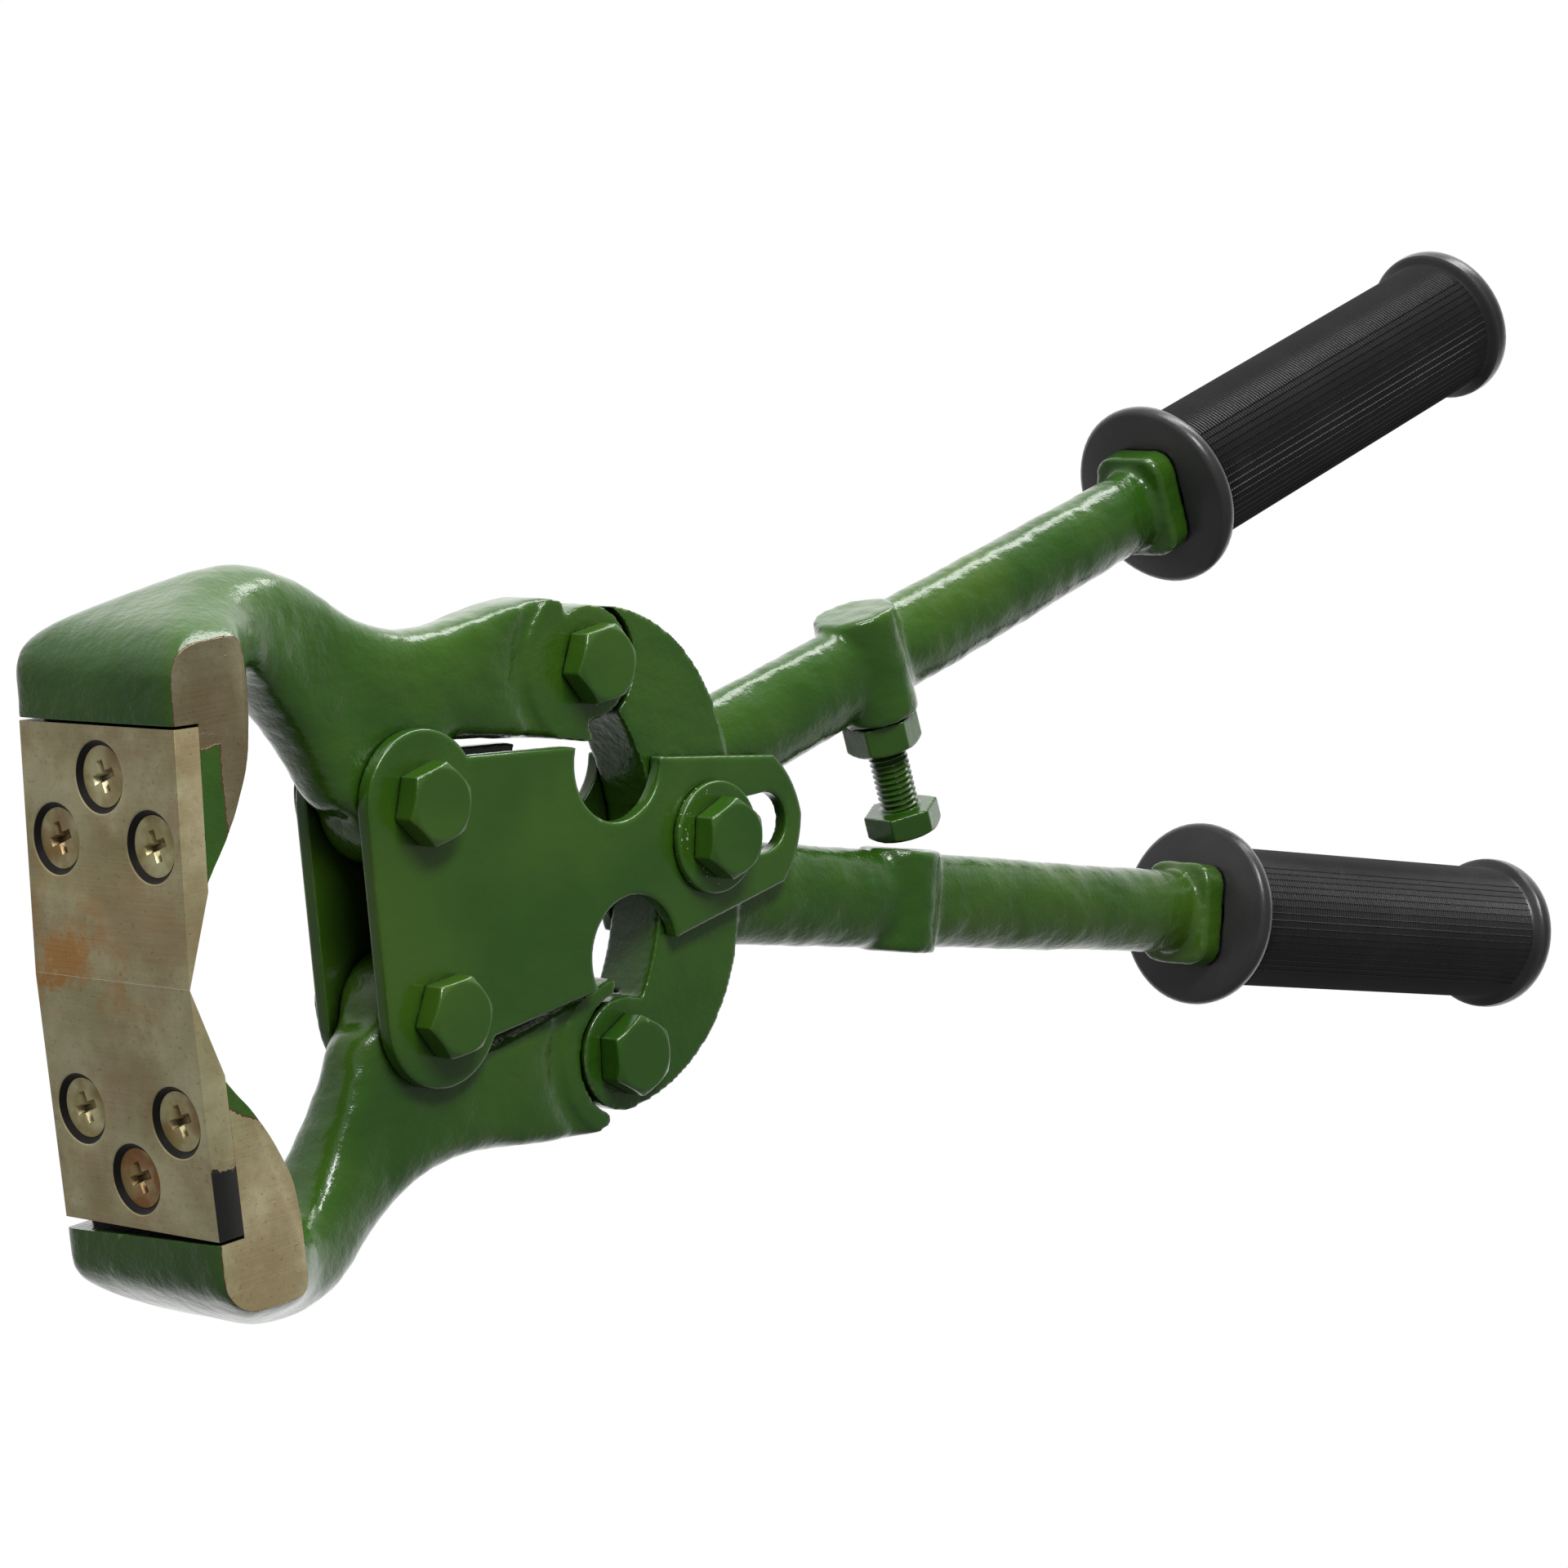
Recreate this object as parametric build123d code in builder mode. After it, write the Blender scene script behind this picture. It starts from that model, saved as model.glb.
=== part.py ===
"""Compound-action end-cutting nippers, lying flat: blades at -X, grips at +X, bolts along Z."""
import os
from math import atan2, cos, degrees, hypot, radians, sin, sqrt, tan

from build123d import *

os.makedirs("parts", exist_ok=True)

# ---------------------------------------------------------------- driving dimensions, mm
# Linkage, measured from the centre bolt with the blades shut.
jaw_pivot_x, jaw_pivot_y = -89.9, 24.4      # bolt that a jaw turns on, in the side plates
link_x, link_y = -30.6, 46.6                # bolt that joins a jaw to its handle
slide_travel = 18.8                         # room for the centre bolt in the plates' slots

# Side plates
plate_thickness = 4.0
plate_gap = 17.2                            # between the plates' inner faces
plate_lobe_radius = 16.8                    # round each jaw pivot
plate_corner_x, plate_corner_y = -44.0, 29.3
notch_x, notch_y, notch_radius = -28.4, 23.0, 14.0
tail_front_x, tail_front_y = -12.0, 21.4
tail_wall = 5.8                             # behind the slot
tail_rear_y = 15.6
tail_round_x, tail_bulge = 7.8, 2.2         # the tail's rounded end, from its rearmost point
lobe_middle_angle, lobe_overlap_angle = 50, 3   # degrees, on the lobe's arc
plate_edge_round = 0.8

# Clearances
face_gap = 0.3                              # between flat faces that move past each other
lap_gap = 0.3                               # between the halves of a lap
bore_clearance = 0.05                       # radial, on a pivot
hole_clearance = 0.2                        # radial, round a fixed fastener
slot_clearance = 0.2                        # radial, round the bush
link_clearance = 1.1                        # radial, in the jaw's link hole and its seat

# Forged pieces
cheek_half = plate_gap / 2 - face_gap       # half the thickness of jaw and handle ends
ear_radius = 13.6                           # lap ear round the link bolt
jaw_boss_radius = 15.0                      # barrel round the jaw pivot
hub_radius = 15.0                           # handle's lap round the bush
hub_clearance = 1.2

# Hex fasteners, M10
bolt_diameter = 10.0
hex_across_flats = 17.0
hex_head_height = 6.5
hex_crown = 0.95                            # of the across flats, where the corners are bevelled
hex_bevel_angle = 30                        # degrees
thread_end = 1.0                            # bevel at a bolt's end
hex_nut_height = 10.0
lock_nut_height = 8.0
bolt_stick_out = 2.0                        # past the nut
bush_diameter = 14.0
washer_diameter = 27.0
washer_thickness = 2.1
washer_edge_round = 0.6
jaw_bolt_turns = {"upper": 12, "lower": 4}      # degrees, how each hexagon came to rest
link_bolt_turns = {"upper": 6, "lower": 26}
jaw_nut_turn, link_nut_turn = 20, 10            # from their bolt
centre_bolt_turn, centre_nut_turn = 20, 5
stop_screw_turn, lock_nut_turn = 4, 10

# Blades, each bolted under its jaw's head and leaning back from the edge
blade_width = 52.4
blade_height = 55.2
blade_thickness = 6.75
blade_bevel = 20.0
upper_blade_lean, lower_blade_lean = 3.3, 1.0   # degrees
blade_edge_x = -173.2
blade_edge_gap = 0.12                       # from each edge to the mid-line
blade_end_gap = 0.7                         # under the head's lip

# Countersunk M8 blade screws
screw_outer_y = 44.0
screw_inner_y, screw_inner_z = 29.8, 16.0
screw_diameter = 8.0
screw_head_diameter = 13.6
screw_sink_diameter = 16.4
screw_head_depth = 1.3                      # head's top below the blade's face
screw_depth = 7.2                           # into the jaw
recess_span, recess_width, recess_depth = 7.2, 2.1, 2.4     # the screws' cross recess
recess_taper, recess_turn = 14, 20                          # degrees

# Jaw head: a bar across the tool, with a lip over the blade's end
head_tip = 21.0                             # where the head runs out behind the blade
lip_front = -0.5                            # lip's face behind the blade's face
lip_height = 11.0
head_shoulder_y = 71.5                      # top of the ground side faces
head_crown_y = 86.0
upper_back = ((-163.5, 75.0), (-152.0, 79.8), (-136.0, 84.2), (-124.0, 82.9), (-110.5, 76.9),
              (-98.5, 68.5), (-80.0, 61.9), (-57.0, 63.5))    # outline from the lip to the link
lower_back = ((-163.5, 75.6), (-152.0, 81.0), (-136.0, 83.8), (-118.5, 76.4), (-99.4, 63.8),
              (-80.0, 60.4), (-57.0, 62.5))
crown_view = ((76.0, 20.0), (79.8, 12.0))   # the head's top seen from the front, y and z
mouth_foot, mouth_curve, mouth_top = (-111.0, 25.0), (-118.8, 42.4), (-130.2, 57.2)
head_throat, head_back, head_curve = (-139.2, 62.0), (-146.6, 57.4), (-151.5, 42.2)
head_end_x = -149.0                         # the head is full width as far back as this
plan_throat = (-137.0, 15.5)                # x and z, where the head is drawn in to the arm
neck_x, neck_half = -122.0, 10.5            # the arm behind the head, and half its thickness
neck_end_x = -109.0
blank_front_x = -180.0                      # clear of the blade's face
arm_underside = (-67.0, 34.5)
lap_outline = ((-11.5, 17.0), (-6.8, 15.6), (-1.0, -18.6), (-14.5, -15.4))    # from the link
groove_inner, groove_outer, groove_depth = 20.0, 25.5, 1.2

# Handle
arm_start_x, arm_start_y = 40.0, 23.0       # a point on the arm's axis
arm_root_back = 34.0                        # the arm's root, back along the axis from that point
arm_into_collar = 1.0
arm_root_half, arm_end_half = 13.0, 10.8    # half its height
arm_root_flat, arm_end_flat = 7.8, 8.3      # half its thickness
upper_boss_along, lower_boss_along = 32.7, 37.2     # from that point to the stop boss
boss_radius = 10.6
upper_boss_inner, upper_boss_outer = 14.6, 13.6     # from the arm's axis to the boss's ends
lower_boss_inner, lower_boss_outer = 13.0, 12.8
collar_height, collar_width, collar_length = 27.6, 22.0, 8.0
collar_round = 6.0
crescent_top, crescent_inner = (2.6, 13.3), (7.0, -11.6)    # from the link
crescent_back, crescent_rear = (0.0, 45.8), (11.4, 17.0)
crescent_throat = (-16.4, 19.5)
hub_foot_angle = 159                        # degrees, where the crescent's inside meets the hub

# Grip
upper_grip_x, upper_grip_y = 180.5, 53.9    # front of the collar, on the grip's axis
lower_grip_x, lower_grip_y = 185.0, 56.0
upper_grip_angle, lower_grip_angle = 13.2, 13.6     # degrees from the tool's axis
grip_length = 140.0
grip_radius = 18.7
near_flange_radius, near_flange_length = 24.5, 7.5
far_flange_radius, far_flange_length = 21.5, 6.5
tang_radius, tang_length = 8.0, 104.0

# Stop screw, M10, with a lock nut
stop_engaged = 12.0                         # thread in the boss
stop_hole_depth = 26.5
stop_gap = 0.3                              # from its head to the other handle's boss

# ---------------------------------------------------------------- derived sizes
head_half = blade_width / 2
mid_z = head_half                           # the tool rests on the heads' ground sides
screw_places = ((screw_outer_y, 0), (screw_inner_y, screw_inner_z), (screw_inner_y, -screw_inner_z))
slot_radius = bush_diameter / 2 + slot_clearance
tail_end_x = slide_travel + slot_radius + tail_wall
plate_outer = plate_gap / 2 + plate_thickness
washer_seat = plate_outer + face_gap
link_seat = cheek_half + face_gap
lap_half = lap_gap / 2
seat_radius = ear_radius + link_clearance
hub_recess = hub_radius + hub_clearance
bolt_radius = bolt_diameter / 2
hex_corner = hex_across_flats / sqrt(3)     # from the middle to a corner
hex_bevel = hex_corner - hex_crown * hex_across_flats / 2
hex_bevel_drop = hex_bevel * tan(radians(hex_bevel_angle))
far_round = far_flange_length / 2
near_round = near_flange_length / 2
grip_end_reach = (collar_length + grip_length) * cos(radians(lower_grip_angle))
far_corner_reach = (far_flange_radius - far_round) * sin(radians(lower_grip_angle))
model_rear_x = lower_grip_x + grip_end_reach + far_corner_reach
centre_x = -(blade_edge_x + model_rear_x) / 2


def at(x, y, z=0.0):
    """A point measured from the centre bolt's middle, in the model's frame."""
    return (centre_x + x, y, mid_z + z)


def level(z=0.0):
    """A plane parallel to the side plates, z above the tool's middle."""
    return Plane(origin=at(0, 0, z))


def direction(angle):
    """A unit vector in the tool's plane, angle degrees from +X."""
    return (cos(radians(angle)), sin(radians(angle)), 0)


tool_axis = Axis(at(0, 0), (1, 0, 0))


def blade_side(lean):
    """The plane of a blade's side profile: X runs up the blade from its edge, Y out of its face."""
    return Plane(origin=at(blade_edge_x, blade_edge_gap), x_dir=direction(90 - lean), z_dir=(0, 0, 1))


def blade_face(lean):
    """The plane of a blade's front face."""
    return Plane(origin=at(blade_edge_x, blade_edge_gap), x_dir=direction(90 - lean),
                 z_dir=direction(180 - lean))


def behind_blade(along, deep, lean):
    """Sketch point that lies so far along a blade from its edge, and so deep behind its face."""
    turn = radians(lean)
    x = blade_edge_x + along * sin(turn) + deep * cos(turn)
    return (x, blade_edge_gap + along * cos(turn) - deep * sin(turn))


def keep(piece, label):
    """Label a finished piece and write its file."""
    piece.part.label = label
    export_step(piece.part, f"parts/{label}.step")


def turn_over(piece):
    """An upper piece turned about the tool's axis, for the other half of the tool."""
    return piece.part.rotate(tool_axis, 180)


# ---------------------------------------------------------------- side plates
def side_plate(inner_z, outer_z):
    """One plate, cut symmetrical about the tool's axis, with its outside edge rounded."""
    top_angle = degrees(atan2(plate_corner_y - jaw_pivot_y, plate_corner_x - jaw_pivot_x))
    top_angle += degrees(atan2(plate_lobe_radius, hypot(plate_corner_y - jaw_pivot_y,
                                                        plate_corner_x - jaw_pivot_x)))
    top_angle = radians(top_angle + lobe_overlap_angle)
    lobe_top = (jaw_pivot_x + plate_lobe_radius * cos(top_angle),
                jaw_pivot_y + plate_lobe_radius * sin(top_angle))
    lobe_front = (jaw_pivot_x - plate_lobe_radius, jaw_pivot_y)
    lobe_middle = (jaw_pivot_x - plate_lobe_radius * cos(radians(lobe_middle_angle)),
                   jaw_pivot_y + plate_lobe_radius * sin(radians(lobe_middle_angle)))
    with BuildPart() as plate:
        with BuildSketch(level(min(inner_z, outer_z))):
            with BuildLine():
                Line((lobe_front[0], 0), lobe_front)
                ThreePointArc(lobe_front, lobe_middle, lobe_top)
                Line(lobe_top, (plate_corner_x, plate_corner_y))
                Line((plate_corner_x, plate_corner_y), (tail_front_x, tail_front_y))
                Line((tail_front_x, tail_front_y), (tail_end_x - tail_round_x, tail_rear_y))
                ThreePointArc((tail_end_x - tail_round_x, tail_rear_y),
                              (tail_end_x - tail_bulge, tail_rear_y / 2), (tail_end_x, 0))
                Line((tail_end_x, 0), (lobe_front[0], 0))
            make_face()
            mirror(about=Plane.XZ)
            with Locations((notch_x, notch_y), (notch_x, -notch_y)):
                Circle(notch_radius, mode=Mode.SUBTRACT)
            with Locations((jaw_pivot_x, jaw_pivot_y), (jaw_pivot_x, -jaw_pivot_y)):
                Circle(bolt_radius + hole_clearance, mode=Mode.SUBTRACT)
            with Locations((slide_travel / 2, 0)):
                SlotCenterToCenter(slide_travel, 2 * slot_radius, mode=Mode.SUBTRACT)
        extrude(amount=plate_thickness)
        outside = plate.faces().sort_by(Axis.Z)[-1 if outer_z > 0 else 0]
        fillet(outside.outer_wire().edges(), plate_edge_round)
    return plate


keep(side_plate(plate_gap / 2, plate_outer), "side_plate_front")
keep(side_plate(-plate_gap / 2, -plate_outer), "side_plate_back")


# ---------------------------------------------------------------- hex bolts, nuts, washers and bush
def hex_bolt(plane, length, turn):
    """A hex-head bolt: the plane is under its head, with its normal towards the head's top."""
    with BuildPart() as bolt:
        with BuildSketch(plane):
            RegularPolygon(hex_across_flats / 2, 6, major_radius=False, rotation=turn)
        extrude(amount=hex_head_height)
        with BuildSketch(plane):
            Circle(bolt_radius)
        extrude(amount=-length)
        with BuildSketch(Plane(origin=plane.origin, x_dir=plane.x_dir, z_dir=plane.y_dir)):
            with BuildLine():
                Polyline((0, -hex_head_height), (hex_corner - hex_bevel, -hex_head_height),
                         (hex_corner, hex_bevel_drop - hex_head_height), (hex_corner, 0), (bolt_radius, 0),
                         (bolt_radius, length - thread_end), (bolt_radius - thread_end, length),
                         (0, length), close=True)
            make_face()
        revolve(axis=Axis(plane.origin, plane.z_dir), mode=Mode.INTERSECT)
    return bolt


def hex_nut(plane, turn, height=hex_nut_height):
    """A hex nut: the plane is its seat, and the nut stands on the plane's normal side."""
    with BuildPart() as nut:
        with BuildSketch(plane):
            RegularPolygon(hex_across_flats / 2, 6, major_radius=False, rotation=turn)
            Circle(bolt_radius, mode=Mode.SUBTRACT)
        extrude(amount=height)
        with BuildSketch(Plane(origin=plane.origin, x_dir=plane.x_dir, z_dir=plane.y_dir)):
            with BuildLine():
                Polyline((0, 0), (hex_corner, 0), (hex_corner, hex_bevel_drop - height),
                         (hex_corner - hex_bevel, -height), (0, -height), close=True)
            make_face()
        revolve(axis=Axis(plane.origin, plane.z_dir), mode=Mode.INTERSECT)
    return nut


def seat(x, y, z, facing):
    """A fastener's seat plane, facing +1 for up and -1 for down."""
    return Plane(origin=at(x, y, z), x_dir=(1, 0, 0), z_dir=(0, 0, facing))


for side, half in ((1, "upper"), (-1, "lower")):
    jaw_turn, link_turn = jaw_bolt_turns[half], link_bolt_turns[half]
    pivot_length = 2 * plate_outer + hex_nut_height + bolt_stick_out
    keep(hex_bolt(seat(jaw_pivot_x, side * jaw_pivot_y, plate_outer, 1), pivot_length, jaw_turn),
         f"jaw_pivot_bolt_{half}")
    keep(hex_nut(seat(jaw_pivot_x, side * jaw_pivot_y, -plate_outer, -1), jaw_turn + jaw_nut_turn),
         f"jaw_pivot_nut_{half}")
    # A link bolt turns with its handle, so its head or nut stands clear of the jaw's ear.
    head_seat = link_seat if side > 0 else cheek_half
    nut_seat = cheek_half if side > 0 else link_seat
    link_length = head_seat + nut_seat + hex_nut_height + bolt_stick_out
    keep(hex_bolt(seat(link_x, side * link_y, head_seat, 1), link_length, link_turn), f"link_bolt_{half}")
    keep(hex_nut(seat(link_x, side * link_y, -nut_seat, -1), link_turn + link_nut_turn), f"link_nut_{half}")

head_level = washer_seat + washer_thickness
centre_length = 2 * head_level + hex_nut_height + bolt_stick_out
keep(hex_bolt(seat(0, 0, head_level, 1), centre_length, centre_bolt_turn), "centre_bolt")
keep(hex_nut(seat(0, 0, -head_level, -1), centre_nut_turn), "centre_nut")

for facing, name in ((1, "centre_washer_front"), (-1, "centre_washer_back")):
    with BuildPart() as washer:
        with BuildSketch(seat(0, 0, facing * washer_seat, facing)):
            Circle(washer_diameter / 2)
            Circle(bolt_radius + hole_clearance, mode=Mode.SUBTRACT)
        extrude(amount=washer_thickness)
        outside = washer.faces().sort_by(Axis.Z)[-1 if facing > 0 else 0]
        fillet(outside.outer_wire().edges(), washer_edge_round)
    keep(washer, name)

with BuildPart() as centre_bush:
    with BuildSketch(level(-washer_seat)):
        Circle(bush_diameter / 2)
        Circle(bolt_radius, mode=Mode.SUBTRACT)
    extrude(amount=2 * washer_seat)
keep(centre_bush, "centre_bush")


# ---------------------------------------------------------------- jaws
def jaw_shape(lean, back):
    """The upper jaw's form, for a blade's lean and the outline of the jaw's back."""
    with BuildPart() as jaw:
        # Side profile: seat, lip, crown, arm, lap end, underside, mouth and back of the head.
        seat_foot = behind_blade(head_tip, blade_thickness, lean)
        seat_top = behind_blade(blade_height + blade_end_gap, blade_thickness, lean)
        lip_foot = behind_blade(blade_height + blade_end_gap, lip_front, lean)
        lip_top = behind_blade(blade_height + blade_end_gap + lip_height, lip_front, lean)
        arm_end, upper_tip, lower_tip, underside = ((link_x + x, link_y + y) for x, y in lap_outline)
        boss_slant = jaw_boss_radius * cos(radians(45))
        boss_rear = (jaw_pivot_x + boss_slant, jaw_pivot_y + boss_slant)
        boss_front = (jaw_pivot_x - jaw_boss_radius, jaw_pivot_y)
        with BuildSketch(level(-head_half)):
            with BuildLine():
                Line(seat_foot, seat_top)
                Line(seat_top, lip_foot)
                Line(lip_foot, lip_top)
                Spline(lip_top, *back, arm_end)
                Line(arm_end, upper_tip)
                Line(upper_tip, lower_tip)
                Line(lower_tip, underside)
                Line(underside, arm_underside)
                Line(arm_underside, boss_rear)
                Line(boss_rear, (jaw_pivot_x, jaw_pivot_y))
                Line((jaw_pivot_x, jaw_pivot_y), boss_front)
                Line(boss_front, mouth_foot)
                ThreePointArc(mouth_foot, mouth_curve, mouth_top)
                ThreePointArc(mouth_top, head_throat, head_back)
                ThreePointArc(head_back, head_curve, seat_foot)
            make_face()
        extrude(amount=2 * head_half)
        # Plan: as wide as the blade at the head, then drawn in to fit between the side plates.
        with BuildSketch(Plane(origin=at(0, 0), x_dir=(1, 0, 0), z_dir=(0, -1, 0))):
            with BuildLine():
                Line((blank_front_x, 0), (blank_front_x, head_half))
                Line((blank_front_x, head_half), (head_end_x, head_half))
                ThreePointArc((head_end_x, head_half), plan_throat, (neck_x, neck_half))
                Line((neck_x, neck_half), (neck_end_x, cheek_half))
                Line((neck_end_x, cheek_half), (0, cheek_half))
                Line((0, cheek_half), (0, 0))
                Line((0, 0), (blank_front_x, 0))
            make_face()
            mirror(about=Plane.XZ)
        extrude(amount=2 * head_crown_y, both=True, mode=Mode.INTERSECT)
        # Front view: the head's top falls away to the ground side faces.
        with BuildSketch(Plane(origin=at(0, 0), x_dir=(0, 1, 0), z_dir=(1, 0, 0))):
            with BuildLine():
                Line((0, head_half), (head_shoulder_y, head_half))
                Spline((head_shoulder_y, head_half), *crown_view, (head_crown_y, 0),
                       *((y, -z) for y, z in reversed(crown_view)), (head_shoulder_y, -head_half))
                Line((head_shoulder_y, -head_half), (0, -head_half))
                Line((0, -head_half), (0, head_half))
            make_face()
        extrude(amount=2 * abs(blade_edge_x), both=True, mode=Mode.INTERSECT)
        with BuildSketch(level(-cheek_half)):
            with Locations((jaw_pivot_x, jaw_pivot_y)):
                Circle(jaw_boss_radius)
        extrude(amount=2 * cheek_half)
        # Lap for the link: the ear is the upper half, and the handle's ear fits under it.
        with BuildSketch(level(lap_half)):
            with Locations((link_x, link_y)):
                Circle(seat_radius)
        extrude(amount=-2 * cheek_half, mode=Mode.SUBTRACT)
        with BuildSketch(level(lap_half)):
            with Locations((link_x, link_y)):
                Circle(ear_radius)
        extrude(amount=cheek_half - lap_half)
        for face_z, inward in ((cheek_half, -1), (-cheek_half, 1)):
            with BuildSketch(level(face_z)):
                with Locations((link_x, link_y)):
                    Circle(groove_outer)
                    Circle(groove_inner, mode=Mode.SUBTRACT)
            extrude(amount=inward * groove_depth, mode=Mode.SUBTRACT)
        with BuildSketch(level(-cheek_half)):
            with Locations((jaw_pivot_x, jaw_pivot_y)):
                Circle(bolt_radius + bore_clearance)
            with Locations((link_x, link_y)):
                Circle(bolt_radius + link_clearance)
        extrude(amount=2 * cheek_half, mode=Mode.SUBTRACT)
        with BuildSketch(blade_face(lean).offset(-blade_thickness)):
            with Locations(*screw_places):
                Circle(screw_diameter / 2)
        extrude(amount=-screw_depth, mode=Mode.SUBTRACT)
    return jaw


keep(jaw_shape(upper_blade_lean, upper_back), "jaw_upper")

with BuildPart() as jaw_lower:
    add(turn_over(jaw_shape(lower_blade_lean, lower_back)))
keep(jaw_lower, "jaw_lower")


# ---------------------------------------------------------------- blades and their screws
def blade_shape(lean):
    """The upper blade's form: a flat bar with one long bevel and three countersinks."""
    with BuildPart() as blade:
        with BuildSketch(blade_side(lean).offset(-head_half)):
            with BuildLine():
                Polyline((0, 0), (blade_height, 0), (blade_height, -blade_thickness),
                         (blade_bevel, -blade_thickness), close=True)
            make_face()
        extrude(amount=blade_width)
        with Locations(blade_face(lean)):
            with Locations(*screw_places):
                CounterSinkHole(screw_diameter / 2 + hole_clearance, screw_sink_diameter / 2,
                                counter_sink_angle=90)
    return blade


def blade_screws(lean):
    """The three cross-recessed screws of the upper blade."""
    cone_height = (screw_head_diameter - screw_diameter) / 2
    shank = blade_thickness + screw_depth - screw_head_depth - cone_height
    head_top = blade_face(lean).offset(-screw_head_depth)
    with BuildPart() as screws:
        for along, across in screw_places:
            with BuildSketch(head_top):
                with Locations((along, across)):
                    Circle(screw_head_diameter / 2)
            with BuildSketch(head_top.offset(-cone_height)):
                with Locations((along, across)):
                    Circle(screw_diameter / 2)
            loft()
            with BuildSketch(head_top.offset(-cone_height)):
                with Locations((along, across)):
                    Circle(screw_diameter / 2)
            extrude(amount=-shank)
            with BuildSketch(head_top):
                with Locations((along, across)):
                    Rectangle(recess_span, recess_width, rotation=recess_turn)
                    Rectangle(recess_width, recess_span, rotation=recess_turn)
            extrude(amount=-recess_depth, taper=recess_taper, mode=Mode.SUBTRACT)
    return screws


keep(blade_shape(upper_blade_lean), "blade_upper")
keep(blade_screws(upper_blade_lean), "blade_screws_upper")

with BuildPart() as blade_lower:
    add(turn_over(blade_shape(lower_blade_lean)))
keep(blade_lower, "blade_lower")

with BuildPart() as blade_screws_lower:
    add(turn_over(blade_screws(lower_blade_lean)))
keep(blade_screws_lower, "blade_screws_lower")


# ---------------------------------------------------------------- handles
def slope(grip_x, grip_y):
    """The angle of an arm, in degrees from the tool's axis."""
    return degrees(atan2(grip_y - arm_start_y, grip_x - arm_start_x))


def across_arm(x, y, angle):
    """A plane across the arm or grip, with its sketch X in the tool's plane and its Y along Z."""
    return Plane(origin=at(x, y), x_dir=direction(angle + 90), z_dir=direction(angle))


def handle_shape(grip_x, grip_y, grip_angle, boss_along, boss_inner, boss_outer):
    """The upper handle's form, for the place of its collar and its stop boss."""
    arm_angle = slope(grip_x, grip_y)
    boss_x = arm_start_x + boss_along * cos(radians(arm_angle))
    boss_y = arm_start_y + boss_along * sin(radians(arm_angle))
    with BuildPart() as handle:
        # Crescent head, from the link ear round to the hub.
        outer_top = (link_x + crescent_top[0], link_y + crescent_top[1])
        inner_top = (link_x + crescent_inner[0], link_y + crescent_inner[1])
        inner_foot = (hub_radius * cos(radians(hub_foot_angle)), hub_radius * sin(radians(hub_foot_angle)))
        with BuildSketch(level(-cheek_half)):
            with BuildLine():
                ThreePointArc(outer_top, crescent_back, crescent_rear)
                Line(crescent_rear, (hub_radius, 0))
                Line((hub_radius, 0), (0, 0))
                Line((0, 0), inner_foot)
                ThreePointArc(inner_foot, crescent_throat, inner_top)
                Line(inner_top, (link_x, link_y))
                Line((link_x, link_y), outer_top)
            make_face()
            with Locations((link_x, link_y)):
                Circle(ear_radius)
            Circle(hub_radius)
        extrude(amount=2 * cheek_half)
        # Oval arm, running out from the crescent to the collar.
        with BuildSketch(across_arm(arm_start_x - arm_root_back * cos(radians(arm_angle)),
                                    arm_start_y - arm_root_back * sin(radians(arm_angle)), arm_angle)):
            Ellipse(arm_root_half, arm_root_flat)
        with BuildSketch(across_arm(grip_x + arm_into_collar, grip_y, arm_angle)):
            Ellipse(arm_end_half, arm_end_flat)
        loft()
        with BuildSketch(Plane(origin=at(boss_x, boss_y), x_dir=direction(arm_angle),
                               z_dir=direction(arm_angle + 90))):
            Circle(boss_radius)
        extrude(amount=boss_outer)
        with BuildSketch(Plane(origin=at(boss_x, boss_y), x_dir=direction(arm_angle),
                               z_dir=direction(arm_angle - 90))):
            Circle(boss_radius)
        extrude(amount=boss_inner)
        with BuildSketch(across_arm(grip_x, grip_y, grip_angle)):
            RectangleRounded(collar_height, collar_width, collar_round)
        extrude(amount=collar_length)
        with BuildSketch(across_arm(grip_x, grip_y, grip_angle)):
            Circle(tang_radius)
        extrude(amount=collar_length + tang_length)
        # Laps: this handle is the lower half at the link and at the hub.
        with BuildSketch(level(-lap_half)):
            with Locations((link_x, link_y)):
                Circle(seat_radius)
            Circle(hub_recess)
        extrude(amount=2 * cheek_half, mode=Mode.SUBTRACT)
        with BuildSketch(level(-cheek_half)):
            with Locations((link_x, link_y)):
                Circle(bolt_radius)
            Circle(bush_diameter / 2 + bore_clearance)
        extrude(amount=2 * cheek_half, mode=Mode.SUBTRACT)
        with BuildSketch(Plane(origin=at(boss_x + boss_inner * sin(radians(arm_angle)),
                                         boss_y - boss_inner * cos(radians(arm_angle))),
                               x_dir=direction(arm_angle), z_dir=direction(arm_angle + 90))):
            Circle(bolt_radius + bore_clearance)
        extrude(amount=stop_hole_depth, mode=Mode.SUBTRACT)
    return handle


keep(handle_shape(upper_grip_x, upper_grip_y, upper_grip_angle,
                  upper_boss_along, upper_boss_inner, upper_boss_outer), "handle_upper")

with BuildPart() as handle_lower:
    add(turn_over(handle_shape(lower_grip_x, lower_grip_y, lower_grip_angle,
                               lower_boss_along, lower_boss_inner, lower_boss_outer)))
keep(handle_lower, "handle_lower")

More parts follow.
